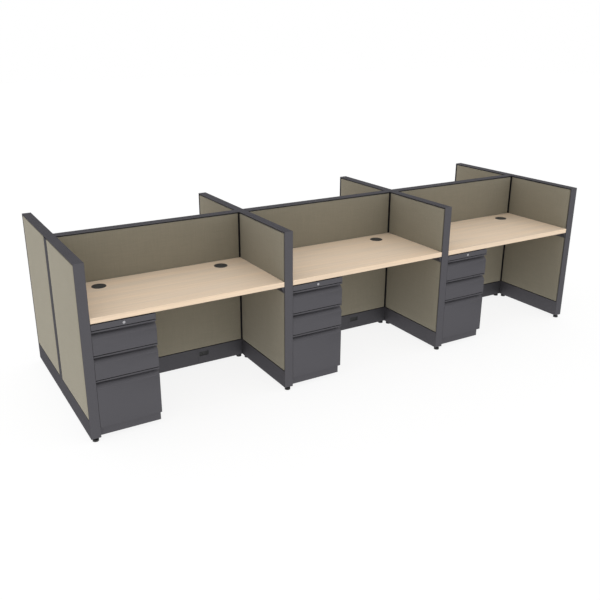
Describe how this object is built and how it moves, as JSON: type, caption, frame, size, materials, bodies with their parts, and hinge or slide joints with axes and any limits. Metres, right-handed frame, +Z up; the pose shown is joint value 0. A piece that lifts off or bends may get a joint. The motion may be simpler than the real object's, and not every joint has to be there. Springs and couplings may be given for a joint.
{
  "type": "cubicle workstation cluster",
  "caption": "Back-to-back cubicle workstations with low fabric panels, laminate worksurfaces on brackets, cable grommets and lockable drawer pedestals.",
  "frame": {"origin": "middle of the cluster on the floor", "axes": "+X along the spine to the right as seen from the front row, -Y out of the front row, +Z up"},
  "size_m": [3.853, 1.2932, 1.065],
  "materials": {
    "charcoal_metal": "satin charcoal powder coat",
    "dark_frame": "matte dark paint",
    "khaki_fabric": "plain woven panel fabric, khaki",
    "maple_laminate": "light maple laminate, fine straight grain",
    "maple_edge": "matching maple edge band",
    "charcoal_plastic": "fine-textured charcoal plastic",
    "black_plastic": "black plastic",
    "zinc_steel": "zinc-plated steel",
    "bright_lock": "polished nickel"
  },
  "bodies": {
    "structure": {"outer_strips": "charcoal_metal", "junction_caps": "charcoal_metal", "top_caps": "charcoal_metal", "end_trims": "charcoal_metal", "spine_raceway_covers": "charcoal_metal", "wing_raceway_covers": "charcoal_metal", "worksurface_brackets": "charcoal_metal", "pedestal_cases": "charcoal_metal", "pedestal_bases": "charcoal_metal", "spine_frames": "dark_frame", "wing_frames": "dark_frame", "connector_posts": "dark_frame", "spine_tiles": "khaki_fabric", "wing_tiles": "khaki_fabric", "worksurfaces": "maple_laminate", "worksurface_edge_bands": "maple_edge", "grommet_liners": "charcoal_plastic", "power_outlets": "charcoal_plastic", "power_modules": "charcoal_plastic", "levelling_glides": "black_plastic", "pedestal_glides": "black_plastic", "worksurface_screws": "zinc_steel", "drawer_slides": "zinc_steel", "lock_bars": "zinc_steel"},
    "front_left_upper_box_drawer": {"front_left_upper_box_drawer": "charcoal_metal"},
    "front_left_lower_box_drawer": {"front_left_lower_box_drawer": "charcoal_metal"},
    "front_left_file_drawer": {"front_left_file_drawer": "charcoal_metal"},
    "front_left_lock": {"front_left_lock": "bright_lock"},
    "front_left_left_grommet_cap": {"front_left_left_grommet_cap": "charcoal_plastic"},
    "front_left_right_grommet_cap": {"front_left_right_grommet_cap": "charcoal_plastic"},
    "front_middle_upper_box_drawer": {"front_middle_upper_box_drawer": "charcoal_metal"},
    "front_middle_lower_box_drawer": {"front_middle_lower_box_drawer": "charcoal_metal"},
    "front_middle_file_drawer": {"front_middle_file_drawer": "charcoal_metal"},
    "front_middle_lock": {"front_middle_lock": "bright_lock"},
    "front_middle_left_grommet_cap": {"front_middle_left_grommet_cap": "charcoal_plastic"},
    "front_middle_right_grommet_cap": {"front_middle_right_grommet_cap": "charcoal_plastic"},
    "front_right_upper_box_drawer": {"front_right_upper_box_drawer": "charcoal_metal"},
    "front_right_lower_box_drawer": {"front_right_lower_box_drawer": "charcoal_metal"},
    "front_right_file_drawer": {"front_right_file_drawer": "charcoal_metal"},
    "front_right_lock": {"front_right_lock": "bright_lock"},
    "front_right_left_grommet_cap": {"front_right_left_grommet_cap": "charcoal_plastic"},
    "front_right_right_grommet_cap": {"front_right_right_grommet_cap": "charcoal_plastic"},
    "rear_left_upper_box_drawer": {"rear_left_upper_box_drawer": "charcoal_metal"},
    "rear_left_lower_box_drawer": {"rear_left_lower_box_drawer": "charcoal_metal"},
    "rear_left_file_drawer": {"rear_left_file_drawer": "charcoal_metal"},
    "rear_left_lock": {"rear_left_lock": "bright_lock"},
    "rear_left_left_grommet_cap": {"rear_left_left_grommet_cap": "charcoal_plastic"},
    "rear_left_right_grommet_cap": {"rear_left_right_grommet_cap": "charcoal_plastic"},
    "rear_middle_upper_box_drawer": {"rear_middle_upper_box_drawer": "charcoal_metal"},
    "rear_middle_lower_box_drawer": {"rear_middle_lower_box_drawer": "charcoal_metal"},
    "rear_middle_file_drawer": {"rear_middle_file_drawer": "charcoal_metal"},
    "rear_middle_lock": {"rear_middle_lock": "bright_lock"},
    "rear_middle_left_grommet_cap": {"rear_middle_left_grommet_cap": "charcoal_plastic"},
    "rear_middle_right_grommet_cap": {"rear_middle_right_grommet_cap": "charcoal_plastic"},
    "rear_right_upper_box_drawer": {"rear_right_upper_box_drawer": "charcoal_metal"},
    "rear_right_lower_box_drawer": {"rear_right_lower_box_drawer": "charcoal_metal"},
    "rear_right_file_drawer": {"rear_right_file_drawer": "charcoal_metal"},
    "rear_right_lock": {"rear_right_lock": "bright_lock"},
    "rear_right_left_grommet_cap": {"rear_right_left_grommet_cap": "charcoal_plastic"},
    "rear_right_right_grommet_cap": {"rear_right_right_grommet_cap": "charcoal_plastic"}
  },
  "joints": [
    {"name": "front_left_upper_box_drawer_slide", "type": "slide", "parent": "structure", "child": "front_left_upper_box_drawer", "axis": [0, -1, 0], "range_m": [0, 0.3]},
    {"name": "front_left_lower_box_drawer_slide", "type": "slide", "parent": "structure", "child": "front_left_lower_box_drawer", "axis": [0, -1, 0], "range_m": [0, 0.3]},
    {"name": "front_left_file_drawer_slide", "type": "slide", "parent": "structure", "child": "front_left_file_drawer", "axis": [0, -1, 0], "range_m": [0, 0.32]},
    {"name": "front_left_lock_turn", "type": "hinge", "parent": "structure", "child": "front_left_lock", "pos_m": [-1.683, -0.645, 0.693], "axis": [0, -1, 0], "range_deg": [0, 90]},
    {"name": "front_left_left_grommet_cap_lift", "type": "slide", "parent": "structure", "child": "front_left_left_grommet_cap", "axis": [0, 0, 1], "range_m": [0, 0.04]},
    {"name": "front_left_right_grommet_cap_lift", "type": "slide", "parent": "structure", "child": "front_left_right_grommet_cap", "axis": [0, 0, 1], "range_m": [0, 0.04]},
    {"name": "front_middle_upper_box_drawer_slide", "type": "slide", "parent": "structure", "child": "front_middle_upper_box_drawer", "axis": [0, -1, 0], "range_m": [0, 0.3]},
    {"name": "front_middle_lower_box_drawer_slide", "type": "slide", "parent": "structure", "child": "front_middle_lower_box_drawer", "axis": [0, -1, 0], "range_m": [0, 0.3]},
    {"name": "front_middle_file_drawer_slide", "type": "slide", "parent": "structure", "child": "front_middle_file_drawer", "axis": [0, -1, 0], "range_m": [0, 0.32]},
    {"name": "front_middle_lock_turn", "type": "hinge", "parent": "structure", "child": "front_middle_lock", "pos_m": [-0.418, -0.645, 0.693], "axis": [0, -1, 0], "range_deg": [0, 90]},
    {"name": "front_middle_left_grommet_cap_lift", "type": "slide", "parent": "structure", "child": "front_middle_left_grommet_cap", "axis": [0, 0, 1], "range_m": [0, 0.04]},
    {"name": "front_middle_right_grommet_cap_lift", "type": "slide", "parent": "structure", "child": "front_middle_right_grommet_cap", "axis": [0, 0, 1], "range_m": [0, 0.04]},
    {"name": "front_right_upper_box_drawer_slide", "type": "slide", "parent": "structure", "child": "front_right_upper_box_drawer", "axis": [0, -1, 0], "range_m": [0, 0.3]},
    {"name": "front_right_lower_box_drawer_slide", "type": "slide", "parent": "structure", "child": "front_right_lower_box_drawer", "axis": [0, -1, 0], "range_m": [0, 0.3]},
    {"name": "front_right_file_drawer_slide", "type": "slide", "parent": "structure", "child": "front_right_file_drawer", "axis": [0, -1, 0], "range_m": [0, 0.32]},
    {"name": "front_right_lock_turn", "type": "hinge", "parent": "structure", "child": "front_right_lock", "pos_m": [0.847, -0.645, 0.693], "axis": [0, -1, 0], "range_deg": [0, 90]},
    {"name": "front_right_left_grommet_cap_lift", "type": "slide", "parent": "structure", "child": "front_right_left_grommet_cap", "axis": [0, 0, 1], "range_m": [0, 0.04]},
    {"name": "front_right_right_grommet_cap_lift", "type": "slide", "parent": "structure", "child": "front_right_right_grommet_cap", "axis": [0, 0, 1], "range_m": [0, 0.04]},
    {"name": "rear_left_upper_box_drawer_slide", "type": "slide", "parent": "structure", "child": "rear_left_upper_box_drawer", "axis": [0, 1, 0], "range_m": [0, 0.3]},
    {"name": "rear_left_lower_box_drawer_slide", "type": "slide", "parent": "structure", "child": "rear_left_lower_box_drawer", "axis": [0, 1, 0], "range_m": [0, 0.3]},
    {"name": "rear_left_file_drawer_slide", "type": "slide", "parent": "structure", "child": "rear_left_file_drawer", "axis": [0, 1, 0], "range_m": [0, 0.32]},
    {"name": "rear_left_lock_turn", "type": "hinge", "parent": "structure", "child": "rear_left_lock", "pos_m": [-0.847, 0.645, 0.693], "axis": [0, 1, 0], "range_deg": [0, 90]},
    {"name": "rear_left_left_grommet_cap_lift", "type": "slide", "parent": "structure", "child": "rear_left_left_grommet_cap", "axis": [0, 0, 1], "range_m": [0, 0.04]},
    {"name": "rear_left_right_grommet_cap_lift", "type": "slide", "parent": "structure", "child": "rear_left_right_grommet_cap", "axis": [0, 0, 1], "range_m": [0, 0.04]},
    {"name": "rear_middle_upper_box_drawer_slide", "type": "slide", "parent": "structure", "child": "rear_middle_upper_box_drawer", "axis": [0, 1, 0], "range_m": [0, 0.3]},
    {"name": "rear_middle_lower_box_drawer_slide", "type": "slide", "parent": "structure", "child": "rear_middle_lower_box_drawer", "axis": [0, 1, 0], "range_m": [0, 0.3]},
    {"name": "rear_middle_file_drawer_slide", "type": "slide", "parent": "structure", "child": "rear_middle_file_drawer", "axis": [0, 1, 0], "range_m": [0, 0.32]},
    {"name": "rear_middle_lock_turn", "type": "hinge", "parent": "structure", "child": "rear_middle_lock", "pos_m": [0.418, 0.645, 0.693], "axis": [0, 1, 0], "range_deg": [0, 90]},
    {"name": "rear_middle_left_grommet_cap_lift", "type": "slide", "parent": "structure", "child": "rear_middle_left_grommet_cap", "axis": [0, 0, 1], "range_m": [0, 0.04]},
    {"name": "rear_middle_right_grommet_cap_lift", "type": "slide", "parent": "structure", "child": "rear_middle_right_grommet_cap", "axis": [0, 0, 1], "range_m": [0, 0.04]},
    {"name": "rear_right_upper_box_drawer_slide", "type": "slide", "parent": "structure", "child": "rear_right_upper_box_drawer", "axis": [0, 1, 0], "range_m": [0, 0.3]},
    {"name": "rear_right_lower_box_drawer_slide", "type": "slide", "parent": "structure", "child": "rear_right_lower_box_drawer", "axis": [0, 1, 0], "range_m": [0, 0.3]},
    {"name": "rear_right_file_drawer_slide", "type": "slide", "parent": "structure", "child": "rear_right_file_drawer", "axis": [0, 1, 0], "range_m": [0, 0.32]},
    {"name": "rear_right_lock_turn", "type": "hinge", "parent": "structure", "child": "rear_right_lock", "pos_m": [1.683, 0.645, 0.693], "axis": [0, 1, 0], "range_deg": [0, 90]},
    {"name": "rear_right_left_grommet_cap_lift", "type": "slide", "parent": "structure", "child": "rear_right_left_grommet_cap", "axis": [0, 0, 1], "range_m": [0, 0.04]},
    {"name": "rear_right_right_grommet_cap_lift", "type": "slide", "parent": "structure", "child": "rear_right_right_grommet_cap", "axis": [0, 0, 1], "range_m": [0, 0.04]}
  ]
}
